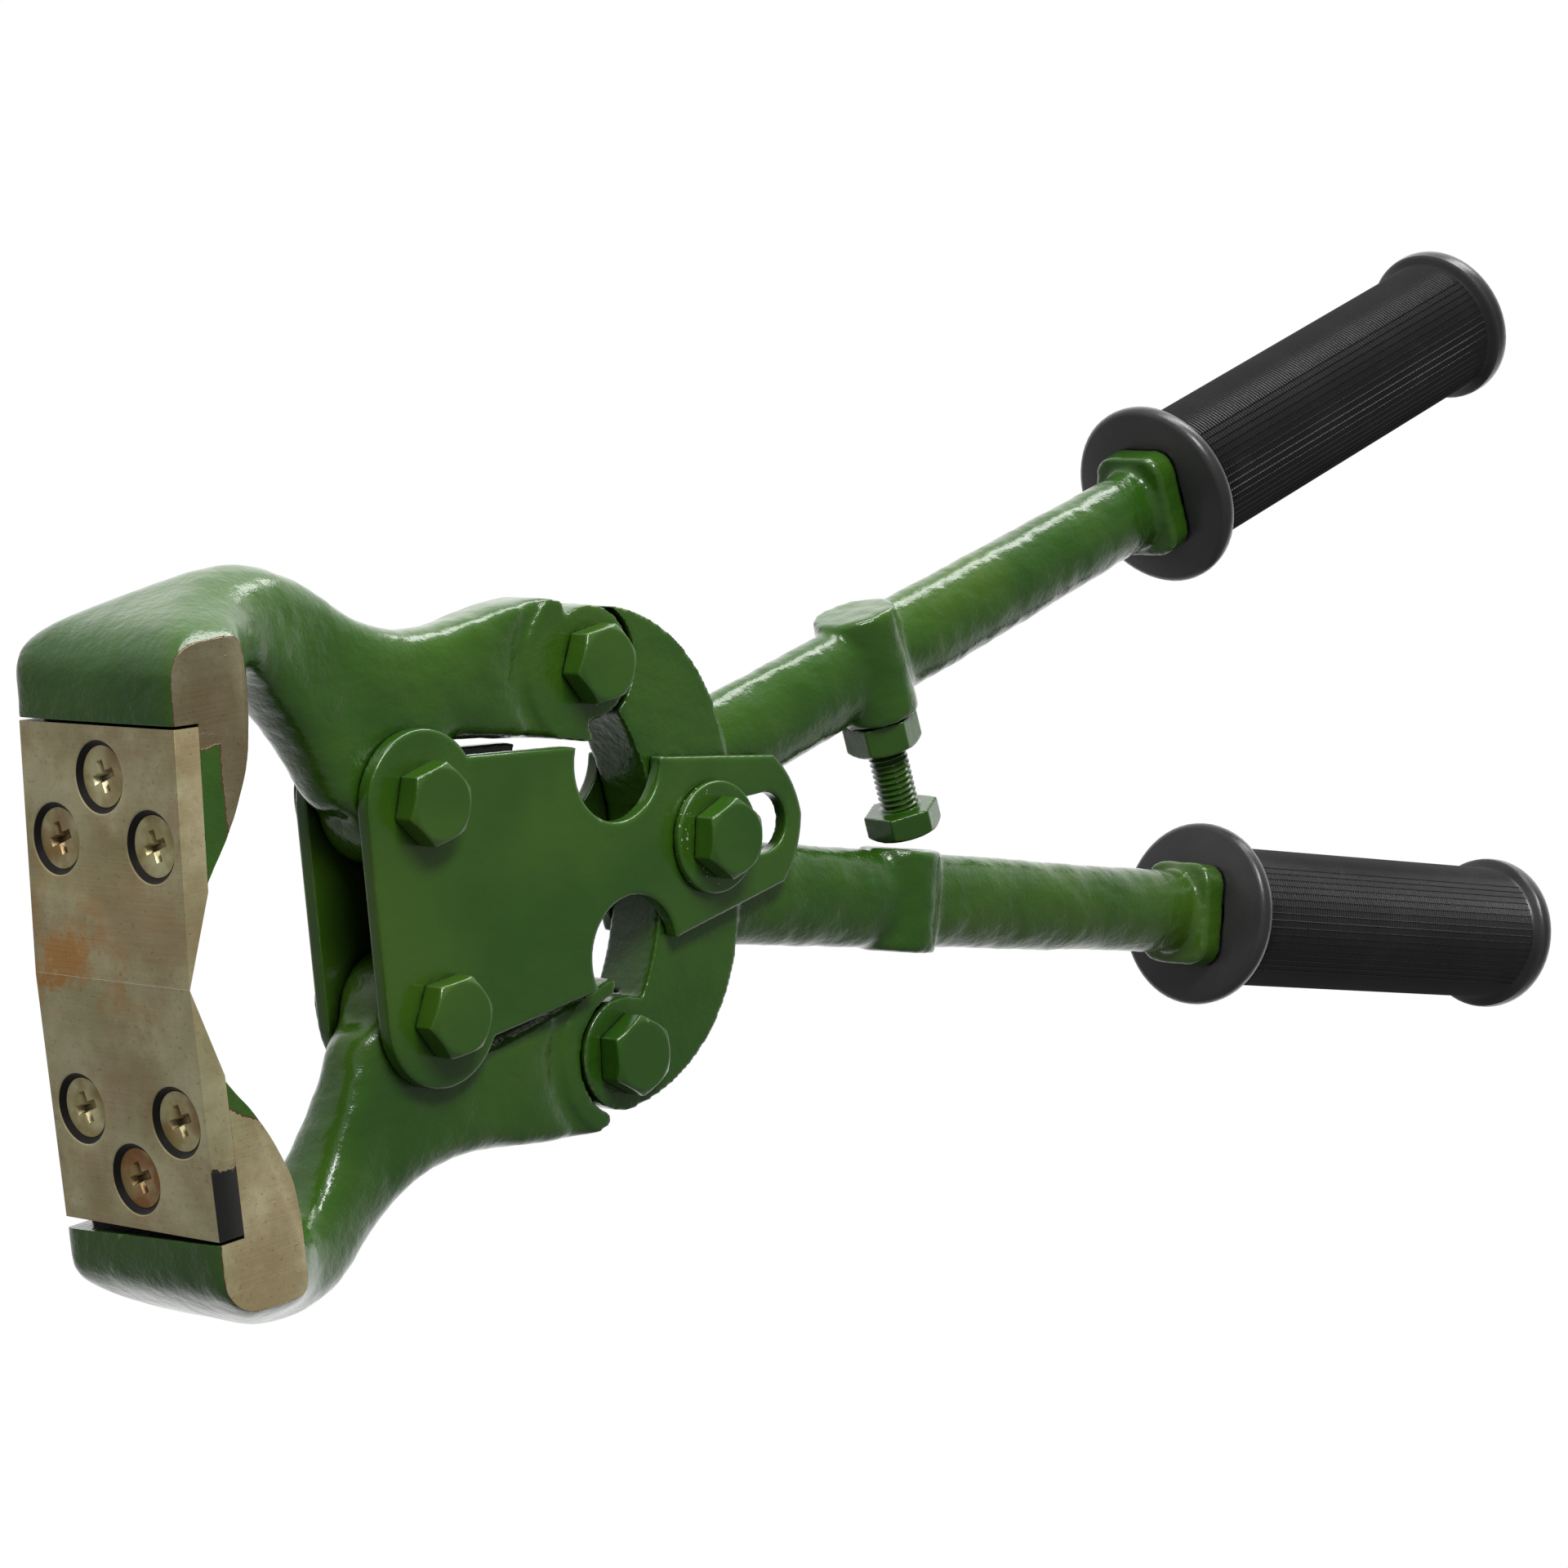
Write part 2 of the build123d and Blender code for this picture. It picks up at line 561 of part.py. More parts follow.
# ---------------------------------------------------------------- stop screw and lock nut
# The screw stands square to the upper arm, so it meets the other boss at the sum of the arms' angles,
# and the rim of its head lands first.
upper_slope = radians(slope(upper_grip_x, upper_grip_y))
lower_slope = radians(slope(lower_grip_x, lower_grip_y))
facing_angle = upper_slope + lower_slope
boss_face_x = arm_start_x + upper_boss_along * cos(upper_slope) + upper_boss_inner * sin(upper_slope)
boss_face_y = arm_start_y + upper_boss_along * sin(upper_slope) - upper_boss_inner * cos(upper_slope)
lower_face_x = arm_start_x + lower_boss_along * cos(lower_slope) + lower_boss_inner * sin(lower_slope)
lower_face_y = arm_start_y + lower_boss_along * sin(lower_slope) - lower_boss_inner * cos(lower_slope)
face_distance = ((boss_face_x - lower_face_x) * sin(lower_slope)
                 + (boss_face_y + lower_face_y) * cos(lower_slope)) / cos(facing_angle)
rim_reach = hex_corner * tan(facing_angle)
head_reach = face_distance - rim_reach - stop_gap - hex_head_height
out_of_boss = direction(degrees(upper_slope) - 90)


def out_from_boss(distance):
    """A plane square to the stop screw, so far out from the boss's face."""
    origin = at(boss_face_x + distance * out_of_boss[0], boss_face_y + distance * out_of_boss[1])
    return Plane(origin=origin, x_dir=(0, 0, 1), z_dir=out_of_boss)


with BuildPart() as stop_nut_shape:
    nut_plane = out_from_boss(face_gap)
    add(hex_nut(nut_plane, lock_nut_turn, lock_nut_height).part)
    with BuildSketch(nut_plane):
        Circle(bolt_radius + bore_clearance)
    extrude(amount=lock_nut_height, mode=Mode.SUBTRACT)
keep(stop_nut_shape, "stop_lock_nut")

keep(hex_bolt(out_from_boss(head_reach), head_reach + stop_engaged, stop_screw_turn), "stop_screw")


# ---------------------------------------------------------------- grips
def grip_shape(grip_x, grip_y, grip_angle):
    """The upper grip's form: a closed tube over the tang, with a flange at each end."""
    grip_start_x = grip_x + collar_length * cos(radians(grip_angle))
    grip_start_y = grip_y + collar_length * sin(radians(grip_angle))
    far_start = grip_length - far_flange_length
    along_grip = Plane(origin=at(grip_start_x, grip_start_y), x_dir=direction(grip_angle), z_dir=(0, 0, 1))
    with BuildPart() as grip:
        with BuildSketch(along_grip):
            with BuildLine():
                Line((0, tang_radius), (0, near_flange_radius - near_round))
                ThreePointArc((0, near_flange_radius - near_round), (near_round, near_flange_radius),
                              (near_flange_length, near_flange_radius - near_round))
                Line((near_flange_length, near_flange_radius - near_round), (near_flange_length, grip_radius))
                Line((near_flange_length, grip_radius), (far_start, grip_radius))
                Line((far_start, grip_radius), (far_start, far_flange_radius - far_round))
                ThreePointArc((far_start, far_flange_radius - far_round),
                              (far_start + far_round, far_flange_radius),
                              (grip_length, far_flange_radius - far_round))
                Line((grip_length, far_flange_radius - far_round), (grip_length, 0))
                Line((grip_length, 0), (tang_length, 0))
                Line((tang_length, 0), (tang_length, tang_radius))
                Line((tang_length, tang_radius), (0, tang_radius))
            make_face()
        revolve(axis=Axis(at(grip_start_x, grip_start_y), direction(grip_angle)))
    return grip


keep(grip_shape(upper_grip_x, upper_grip_y, upper_grip_angle), "grip_upper")

with BuildPart() as grip_lower:
    add(turn_over(grip_shape(lower_grip_x, lower_grip_y, lower_grip_angle)))
keep(grip_lower, "grip_lower")
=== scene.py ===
"""Compound-action end-cutting nippers: painted forgings, replaceable blades and rubber grips."""
from math import cos, pi, radians, sin

import bpy
from mathutils import Matrix, Vector


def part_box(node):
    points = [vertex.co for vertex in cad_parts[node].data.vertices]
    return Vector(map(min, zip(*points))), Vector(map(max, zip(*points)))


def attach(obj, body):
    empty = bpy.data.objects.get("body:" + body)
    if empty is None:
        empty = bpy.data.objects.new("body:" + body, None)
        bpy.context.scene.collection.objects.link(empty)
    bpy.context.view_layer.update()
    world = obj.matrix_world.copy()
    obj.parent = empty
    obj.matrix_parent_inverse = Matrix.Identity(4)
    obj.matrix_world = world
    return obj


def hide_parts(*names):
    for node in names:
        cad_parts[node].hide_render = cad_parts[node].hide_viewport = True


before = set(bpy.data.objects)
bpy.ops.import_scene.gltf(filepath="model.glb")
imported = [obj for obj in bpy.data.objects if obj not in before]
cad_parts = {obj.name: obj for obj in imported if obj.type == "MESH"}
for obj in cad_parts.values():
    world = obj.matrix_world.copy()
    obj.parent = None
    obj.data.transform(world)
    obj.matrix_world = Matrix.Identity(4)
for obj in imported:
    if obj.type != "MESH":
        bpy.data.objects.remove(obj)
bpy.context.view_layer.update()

# ---------------------------------------------------------------- camera
# A long lens on the side of the blades, looking down along the tool, upright across its width.
lens = bpy.data.cameras.new("camera")
lens.lens = 112.5
camera = bpy.data.objects.new("camera", lens)
bpy.context.collection.objects.link(camera)
looking, upright = Vector((0.7098, -0.1618, -0.6856)), Vector((0.1758, 0.9832, -0.0500))
camera.matrix_world = Matrix((looking.cross(upright), upright, -looking)).transposed().to_4x4()
camera.location = (-0.89388, 0.1995, 0.8502)
bpy.context.scene.camera = camera

# ---------------------------------------------------------------- side plates
# Two 4 mm steel plates carry the jaws' pivots, and the centre bolt slides in the slots of their tails.
# They are cut from plate, their outside edges broken, and brushed with thick green enamel.
mid_z = (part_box("side_plate_back")[0][2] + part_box("side_plate_front")[1][2]) / 2
plate_grain = 0.0005


def copy_node(node, name):
    """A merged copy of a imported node's mesh, alone in the selection."""
    bpy.ops.object.select_all(action="DESELECT")
    piece = bpy.data.objects.new(name, bpy.data.objects[node].data.copy())
    bpy.context.collection.objects.link(piece)
    piece.data.materials.clear()
    bpy.context.view_layer.objects.active = piece
    piece.select_set(True)
    bpy.ops.object.mode_set(mode="EDIT")
    bpy.ops.mesh.select_all(action="SELECT")
    bpy.ops.mesh.remove_doubles(threshold=0.000002)
    bpy.ops.object.mode_set(mode="OBJECT")
    return piece


def finish_with(piece, kind, **settings):
    """Add one modifier to a piece, set it and apply it."""
    bpy.ops.object.select_all(action="DESELECT")
    bpy.context.view_layer.objects.active = piece
    piece.select_set(True)
    modifier = piece.modifiers.new(kind.lower(), kind)
    for name, value in settings.items():
        setattr(modifier, name, value)
    bpy.ops.object.modifier_apply(modifier=modifier.name)


def cast(piece, grain):
    """Turn a piece into an even skin of small faces, which can then be worn smooth."""
    finish_with(piece, "REMESH", mode="VOXEL", voxel_size=grain, use_smooth_shade=True)


def node(tree, kind, inputs, **settings):
    """A shader node with its settings, and its inputs set or linked by name or number."""
    made = tree.nodes.new("ShaderNode" + kind)
    for name, value in settings.items():
        setattr(made, name, value)
    for socket, value in inputs.items():
        if isinstance(value, bpy.types.NodeSocket):
            tree.links.new(value, made.inputs[socket])
        else:
            made.inputs[socket].default_value = value
    return made


def sums(tree, operation, *values):
    """The result of one Math node."""
    return node(tree, "Math", dict(enumerate(values)), operation=operation).outputs[0]


def between(tree, value, low, high):
    """0 where a value is under low, 1 where it is over high, and a soft step between."""
    step = {"Value": value, "From Min": low, "From Max": high}
    return node(tree, "MapRange", step, interpolation_type="SMOOTHSTEP").outputs[0]


def mottle(tree, place, scale, detail=2.0, roughness=0.5):
    """Noise from 0 to 1, its scale in blotches to the metre."""
    noise = {"Vector": place, "Scale": scale, "Detail": detail, "Roughness": roughness}
    return node(tree, "TexNoise", noise).outputs["Fac"]


def blend(tree, factor, first, second):
    """One colour mixed over another."""
    return node(tree, "Mix", {0: factor, 6: first, 7: second}, data_type="RGBA").outputs[2]


def rough_edge(tree, place, scale, reach, detail=4.0, roughness=0.7):
    """Noise about 0 in metres, which makes a mask's edge ragged."""
    noise = mottle(tree, place, scale, detail, roughness)
    return sums(tree, "MULTIPLY", sums(tree, "SUBTRACT", noise, 0.5), reach)


def stretched(tree, place, scale):
    """Coordinates stretched for a grain that runs one way."""
    return node(tree, "Mapping", {"Vector": place, "Scale": scale}).outputs[0]


def effect(name, inputs, outputs):
    """A new node group with float inputs and named outputs, and its two ends."""
    group = bpy.data.node_groups.new(name, "ShaderNodeTree")
    for label, start in inputs.items():
        kind = "NodeSocketVector" if label == "Place" else "NodeSocketFloat"
        socket = group.interface.new_socket(label, in_out="INPUT", socket_type=kind)
        if kind == "NodeSocketFloat":
            socket.default_value = start
    for label, kind in outputs.items():
        group.interface.new_socket(label, in_out="OUTPUT", socket_type="NodeSocket" + kind)
    return group, group.nodes.new("NodeGroupInput"), group.nodes.new("NodeGroupOutput")


def new_material(name):
    """A new material, its node tree, its shader and the piece's own coordinates."""
    material = bpy.data.materials.new(name)
    material.use_nodes = True
    tree = material.node_tree
    place = node(tree, "TexCoord", {}).outputs["Object"]
    return material, tree, tree.nodes["Principled BSDF"], place


def add_bump(tree, shader, height, depth):
    """Relief on a shader, from a height of 0 to 1 and its depth in metres."""
    bump = node(tree, "Bump", {"Height": height, "Distance": depth})
    tree.links.new(bump.outputs[0], shader.inputs["Normal"])


enamel, given, made = effect("brushed_enamel", {"Place": None, "Peel": 1.0},
                             {"Color": "Color", "Roughness": "Float", "Height": "Float"})
place = given.outputs["Place"]
cloud = between(enamel, mottle(enamel, place, 30), 0.35, 0.65)
fresh = blend(enamel, cloud, (0.018, 0.066, 0.004, 1), (0.029, 0.086, 0.006, 1))
olive = between(enamel, mottle(enamel, place, 14, 3), 0.5, 0.75)
fresh = blend(enamel, sums(enamel, "MULTIPLY", olive, 0.5), fresh, (0.050, 0.098, 0.008, 1))
edge = node(enamel, "NewGeometry", {}).outputs["Pointiness"]
uneven = sums(enamel, "MULTIPLY", sums(enamel, "SUBTRACT", mottle(enamel, place, 420, 3), 0.5), 0.06)
thin = between(enamel, sums(enamel, "ADD", edge, uneven), 0.53, 0.60)
worn = blend(enamel, thin, fresh, (0.085, 0.15, 0.055, 1))
# Painted shade: the enamel turns near-black green in close corners and creases found by ambient occlusion,
# broken up in blotches.
corner = node(enamel, "AmbientOcclusion", {"Distance": 0.004}, samples=4).outputs["AO"]
painted_corner_shade = between(enamel, corner, 0.75, 0.25)
painted_corner_shade = sums(enamel, "MULTIPLY", painted_corner_shade, between(enamel, mottle(enamel, place, 260, 2), 0.3, 0.6))
colour = blend(enamel, sums(enamel, "MULTIPLY", painted_corner_shade, 0.8), worn, (0.008, 0.018, 0.004, 1))
# Painted shade: deep between the plates and jaws, where ambient occlusion finds the tool closed in, the
# enamel is coloured nearly black.
inside = node(enamel, "AmbientOcclusion", {"Distance": 0.035}, samples=6).outputs["AO"]
colour = blend(enamel, between(enamel, inside, 0.42, 0.16), colour, (0.004, 0.005, 0.003, 1))
enamel.links.new(colour, made.inputs["Color"])
skin = mottle(enamel, place, 620, 3.0, 0.6)
ripple = mottle(enamel, stretched(enamel, place, (1, 1.6, 1.2)), 130, 1.5, 0.5)
waves = sums(enamel, "ADD", sums(enamel, "MULTIPLY", skin, 0.5), ripple)
enamel.links.new(sums(enamel, "MULTIPLY", waves, given.outputs["Peel"]), made.inputs["Height"])
gloss = sums(enamel, "MULTIPLY_ADD", mottle(enamel, place, 90, 3), 0.14, 0.12)
enamel.links.new(gloss, made.inputs["Roughness"])


def green_paint(name, peel=1.0):
    """Thick glossy green enamel, put on by brush over primer."""
    paint, tree, shader, place = new_material(name)
    coat = node(tree, "Group", {"Place": place, "Peel": peel}, node_tree=enamel)
    tree.links.new(coat.outputs["Color"], shader.inputs["Base Color"])
    tree.links.new(coat.outputs["Roughness"], shader.inputs["Roughness"])
    add_bump(tree, shader, coat.outputs["Height"], 0.0003)
    shader.inputs["IOR"].default_value = 1.5
    return paint


plate_paint = green_paint("plate_enamel", peel=0.4)
for side in ("front", "back"):
    plate = copy_node(f"side_plate_{side}", f"painted_plate_{side}")
    cast(plate, plate_grain)
    finish_with(plate, "SMOOTH", factor=0.5, iterations=3)
    plate.data.materials.append(plate_paint)
    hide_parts(f"side_plate_{side}")
    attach(plate, "frame")

# ---------------------------------------------------------------- jaws
# Each jaw is one forging: a wide head that carries the blade, an arm, a barrel for its pivot and an ear
# for the link. The head is milled for the blade and ground flat on both sides through the paint.
jaw_grain = 0.0008
head_spare = 1.06                      # the head's width before grinding, as a share of its finished width
arm_rounds, edge_rounds = 200, 260     # rounds of smoothing
blade_low, blade_high = (Vector(corner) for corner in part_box("blade_upper"))
blade_lean = {"upper": radians(3.3), "lower": radians(1.0)}
blade_thickness = 0.00675
seat_end = 0.0559                      # from the cutting edge to the wall at the seat's end
seat_skew = {"upper": 0.0, "lower": radians(2.0)}
cutter_depth, cutter_length = 0.04, 0.08
head_half = blade_high.z - mid_z
head_end, neck = blade_low.x + 0.024, blade_low.x + 0.046


def middle_of(name):
    """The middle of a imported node's box."""
    low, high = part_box(name)
    return Vector(low).lerp(Vector(high), 0.5)


pivot, link = middle_of("jaw_pivot_bolt_upper"), middle_of("link_bolt_upper")
ear_start = link.x - 0.034


def turned_over():
    """Half a turn about the tool's long axis, which takes an upper piece to its lower twin."""
    to_middle, from_middle = Matrix.Translation((0, 0, mid_z)), Matrix.Translation((0, 0, -mid_z))
    return to_middle @ Matrix.Rotation(pi, 4, "X") @ from_middle


def weigh(piece, name, weight_at):
    """A vertex group whose weight at each vertex is worked out from its place."""
    group = piece.vertex_groups.new(name=name)
    for vertex in piece.data.vertices:
        weight = weight_at(vertex.co)
        if weight > 0:
            group.add((vertex.index,), weight, "REPLACE")
    return name


def trim_ends(low, high):
    """Cut the active piece flat at two heights and close the cuts."""
    bpy.ops.object.mode_set(mode="EDIT")
    for level, outward in ((high, 1), (low, -1)):
        bpy.ops.mesh.select_all(action="SELECT")
        bpy.ops.mesh.bisect(plane_co=(0, 0, level), plane_no=(0, 0, outward), use_fill=True,
                            clear_outer=True)
    bpy.ops.object.mode_set(mode="OBJECT")


def hammer(piece, size, depth, group):
    """Uneven forged and painted skin: soft lumps of a size and depth."""
    lumps = bpy.data.textures.get(f"lumps_{size}") or bpy.data.textures.new(f"lumps_{size}", "CLOUDS")
    lumps.noise_scale = size
    finish_with(piece, "DISPLACE", texture=lumps, texture_coords="LOCAL", strength=depth, mid_level=0.5,
                vertex_group=group)


def climb(value, low, high):
    """0 to 1 as a value goes from low to high."""
    return min(max((value - low) / (high - low), 0.0), 1.0)


def from_axis(point, bolt):
    """How far a point of either half lies from its half's bolt."""
    return ((point.x - bolt.x) ** 2 + (abs(point.y) - bolt.y) ** 2) ** 0.5


def roundness_of_jaw(point):
    """The arm is forged round, the head less so, and the flat faces at the pivot and link hardly."""
    off_link = climb(from_axis(point, link), 0.021, 0.032)
    flats = min(off_link, 0.1 + climb(from_axis(point, pivot), 0.015, 0.022))
    in_head = climb(neck - point.x, 0, 0.016)
    return 0.02 + 0.98 * min(flats, 1) * (1 - 0.6 * in_head)


def edges_of_arm(point):
    """The arm's outer thirds, which are rounded again so that its section comes out oval."""
    in_arm = min(climb(point.x - head_end, 0, 0.014), climb(ear_start - point.x, 0, 0.010))
    off_middle = climb(abs(point.z - mid_z), 0.001, 0.006)
    return off_middle * in_arm * climb(from_axis(point, pivot), 0.014, 0.018)


steel, given, made = effect("worked_steel", {"Place": None, "Tan": 0.5, "Rust": 0.0, "Shade": 1.0},
                            {"Color": "Color", "Roughness": "Float", "Height": "Float"})
place = given.outputs["Place"]
cloud = between(steel, mottle(steel, place, 55, 4, 0.6), 0.3, 0.7)
pale = blend(steel, cloud, (0.270, 0.240, 0.115, 1), (0.40, 0.365, 0.215, 1))
bronze = between(steel, mottle(steel, place, 32, 5, 0.65), 0.42, 0.62)
pale = blend(steel, sums(steel, "MULTIPLY", bronze, given.outputs["Tan"]), pale, (0.250, 0.180, 0.085, 1))
rusty = between(steel, mottle(steel, place, 90, 6, 0.7), 0.44, 0.62)
pale = blend(steel, sums(steel, "MULTIPLY", rusty, given.outputs["Rust"]), pale, (0.34, 0.165, 0.035, 1))
lines = mottle(steel, stretched(steel, place, (60, 2400, 60)), 1, 2, 0.6)
fine = mottle(steel, place, 900, 3, 0.7)
pits = between(steel, fine, 0.42, 0.30)
scored = sums(steel, "MULTIPLY", between(steel, lines, 0.35, 0.7), 0.12)
worked = blend(steel, scored, pale, (0.46, 0.42, 0.32, 1))
worked = blend(steel, sums(steel, "MULTIPLY", pits, 0.35), worked, (0.05, 0.035, 0.02, 1))
# Painted shade: the bare steel turns near black in corners and recesses found by ambient occlusion.
corner = node(steel, "AmbientOcclusion", {"Distance": 0.003}, samples=4).outputs["AO"]
worked = blend(steel, between(steel, corner, 0.66, 0.40), worked, (0.006, 0.005, 0.004, 1))
shaded = node(steel, "VectorMath", {0: worked, "Scale": given.outputs["Shade"]}, operation="SCALE").outputs[0]
steel.links.new(shaded, made.inputs["Color"])
steel.links.new(sums(steel, "MULTIPLY_ADD", cloud, 0.15, 0.36), made.inputs["Roughness"])
steel.links.new(sums(steel, "ADD", sums(steel, "MULTIPLY", lines, 0.6), fine), made.inputs["Height"])


def ground_jaw_paint(half):
    """Green enamel over primer, cut through to bare steel where the head's sides are ground."""
    paint = green_paint(f"jaw_enamel_{half}")
    tree = paint.node_tree
    shader = tree.nodes["Principled BSDF"]
    coat = next(made for made in tree.nodes if made.type == "GROUP")
    place = coat.inputs["Place"].links[0].from_socket
    shade = {"upper": 0.62, "lower": 1.35}[half]
    bare = node(tree, "Group", {"Place": place, "Tan": 0.75, "Rust": 0.0, "Shade": shade}, node_tree=steel)
    axes = node(tree, "SeparateXYZ", {0: place}).outputs
    height = sums(tree, "ABSOLUTE", sums(tree, "SUBTRACT", axes[2], mid_z))
    ground = sums(tree, "ADD", rough_edge(tree, place, 520, 0.0006), height)
    # Paint left on the near side: a strip along the upper blade, a corner above the lower one.
    near = between(tree, axes[2], mid_z, mid_z + 0.001)
    if half == "upper":
        strip_width, strip_end = 0.0152, 0.0502
        across = sums(tree, "SUBTRACT", blade_low.x + strip_width, axes[0])
        along = sums(tree, "SUBTRACT", strip_end, axes[1])
        left = sums(tree, "MINIMUM", across, along)
    else:
        corner_x, corner_y, corner_slope = -0.2419, -0.0296, 0.54
        line = sums(tree, "MULTIPLY_ADD", axes[0], corner_slope, -corner_y - corner_slope * corner_x)
        left = sums(tree, "ADD", axes[1], line)
    left = sums(tree, "ADD", left, rough_edge(tree, place, 150, 0.0042, detail=5.0))
    left = sums(tree, "MULTIPLY", left, near)
    cut = between(tree, ground, head_half - 0.00022, head_half - 0.00010)
    cut = sums(tree, "MULTIPLY", cut, between(tree, left, 0.00022, 0.0))
    rim = between(tree, ground, head_half - 0.00042, head_half - 0.00025)
    rim = sums(tree, "MULTIPLY", rim, between(tree, left, 0.0006, 0.0003))
    colour = blend(tree, rim, coat.outputs["Color"], (0.085, 0.018, 0.010, 1))
    colour = blend(tree, cut, colour, bare.outputs["Color"])
    tree.links.new(colour, shader.inputs["Base Color"])
    gloss = node(tree, "Mix", {0: cut, 2: coat.outputs["Roughness"], 3: bare.outputs["Roughness"]})
    tree.links.new(gloss.outputs[0], shader.inputs["Roughness"])
    tree.links.new(sums(tree, "MULTIPLY", cut, 0.55), shader.inputs["Metallic"])
    scratches = sums(tree, "MULTIPLY", bare.outputs["Height"], 0.15)
    relief = node(tree, "Mix", {0: cut, 2: coat.outputs["Height"], 3: scratches})
    bump = next(made for made in tree.nodes if made.type == "BUMP")
    tree.links.new(relief.outputs[0], bump.inputs["Height"])
    return paint


for half, turn in (("upper", Matrix.Identity(4)), ("lower", turned_over())):
    # The forging fills the blade's place too, and its seat is milled out again below.
    jaw = copy_node(f"jaw_{half}", f"forged_jaw_{half}")
    copy_node(f"blade_{half}", f"blank_{half}")
    jaw.select_set(True)
    bpy.context.view_layer.objects.active = jaw
    bpy.ops.object.join()
    cast(jaw, jaw_grain)
    # The head is left wide, so that grinding leaves flat sides with a rounded edge.
    bpy.ops.object.mode_set(mode="EDIT")
    bpy.ops.mesh.select_all(action="DESELECT")
    bpy.ops.object.mode_set(mode="OBJECT")
    for vertex in jaw.data.vertices:
        vertex.select = vertex.co.x < head_end
    bpy.ops.object.mode_set(mode="EDIT")
    bpy.ops.transform.resize(value=(1, 1, head_spare), center_override=(0, 0, mid_z))
    bpy.ops.object.mode_set(mode="OBJECT")
    rounded = weigh(jaw, "rounded", roundness_of_jaw)
    finish_with(jaw, "SMOOTH", factor=0.5, iterations=arm_rounds, vertex_group=rounded)
    edges = weigh(jaw, "edges", edges_of_arm)
    finish_with(jaw, "SMOOTH", factor=0.5, iterations=edge_rounds, vertex_group=edges)
    hammer(jaw, 0.016, 0.0010, rounded)
    hammer(jaw, 0.005, 0.0003, rounded)
    finish_with(jaw, "SMOOTH", factor=0.5, iterations=2)
    trim_ends(blade_low.z, blade_high.z)
    # The milled seat: a box as deep as the blade, from its edge to just past its end.
    bpy.ops.object.select_all(action="DESELECT")
    bpy.ops.mesh.primitive_cube_add(size=1, location=(0, 0, 0))
    cutter = bpy.context.object
    seat = Matrix.Translation((blade_low.x, blade_low.y, mid_z)) @ Matrix.Rotation(-blade_lean[half], 4, "Z")
    skew = seat_skew[half]
    past = seat_end + head_half * sin(skew)
    corner = Matrix.Translation((blade_thickness - cutter_depth / 2, past, 0))
    seat = turn @ seat @ corner @ Matrix.Rotation(-skew, 4, "X")
    box = Matrix.Diagonal((cutter_depth, cutter_length, cutter_length, 1))
    cutter.data.transform(seat @ Matrix.Translation((0, -cutter_length / 2, 0)) @ box)
    finish_with(jaw, "BOOLEAN", object=cutter, operation="DIFFERENCE", solver="EXACT")
    bpy.data.objects.remove(cutter)
    bpy.ops.object.shade_smooth_by_angle(angle=radians(40))
    jaw.data.materials.clear()
    jaw.data.materials.append(ground_jaw_paint(half))
    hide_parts(f"jaw_{half}")
    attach(jaw, f"jaw_{half}")

# ---------------------------------------------------------------- blades
# Flat tool-steel bars with one long bevel, ground all over and now browned by use, rusted near their edges.
# The lower one still has dark mill scale at its end.
rust_reach = {"upper": 0.030, "lower": 0.012}
scale_start = 0.0395


def blade_steel(half):
    """Ground steel with a bronze tarnish, rust towards the cutting edge and scale at one end."""
    metal, tree, shader, place = new_material(f"blade_steel_{half}")
    axes = node(tree, "SeparateXYZ", {0: place}).outputs
    from_edge = sums(tree, "ABSOLUTE", axes[1])
    rust_band = between(tree, from_edge, rust_reach[half], 0.002)
    to_far = between(tree, axes[2], 0.045, 0.006)
    rust = sums(tree, "MULTIPLY", rust_band, sums(tree, "MULTIPLY_ADD", to_far, 0.95, 0.2))
    bare = node(tree, "Group", {"Place": place, "Tan": 0.8, "Rust": rust, "Shade": 1.15}, node_tree=steel)
    colour = bare.outputs["Color"]
    if half == "lower":
        side = between(tree, axes[2], blade_high.z - 0.0004, blade_high.z - 0.0002)
        ragged = sums(tree, "ADD", from_edge, rough_edge(tree, place, 420, 0.006))
        scale = sums(tree, "MULTIPLY", side, between(tree, ragged, scale_start, scale_start + 0.0007))
        colour = blend(tree, scale, colour, (0.018, 0.018, 0.017, 1))
    # Painted shade: the countersinks round the screws are coloured near black.
    lean = blade_lean[half]
    deep = sums(tree, "MULTIPLY", sums(tree, "SUBTRACT", axes[0], blade_low.x), cos(lean))
    deep = sums(tree, "SUBTRACT", deep, sums(tree, "MULTIPLY", from_edge, sin(lean)))
    off_middle = sums(tree, "ABSOLUTE", sums(tree, "SUBTRACT", axes[2], mid_z))
    within = between(tree, off_middle, 0.0257, 0.0255)
    within = sums(tree, "MULTIPLY", within, between(tree, from_edge, 0.0535, 0.0530))
    painted_countersink_shade = sums(tree, "MULTIPLY", within, between(tree, deep, 0.00016, 0.00030))
    painted_countersink_shade = sums(tree, "MULTIPLY", painted_countersink_shade, between(tree, from_edge, 0.020, 0.021))
    colour = blend(tree, painted_countersink_shade, colour, (0.004, 0.003, 0.002, 1))
    tree.links.new(colour, shader.inputs["Base Color"])
    tree.links.new(bare.outputs["Roughness"], shader.inputs["Roughness"])
    shader.inputs["Metallic"].default_value = 0.5
    add_bump(tree, shader, bare.outputs["Height"], 0.00004)
    return metal


def break_edges(piece, width):
    """Merge a machined piece's facets into whole faces and bevel their edges."""
    bpy.ops.object.mode_set(mode="EDIT")
    bpy.ops.mesh.select_all(action="SELECT")
    bpy.ops.mesh.dissolve_limited(angle_limit=radians(1))
    bpy.ops.object.mode_set(mode="OBJECT")
    finish_with(piece, "BEVEL", width=width, segments=2, limit_method="ANGLE", angle_limit=radians(30))


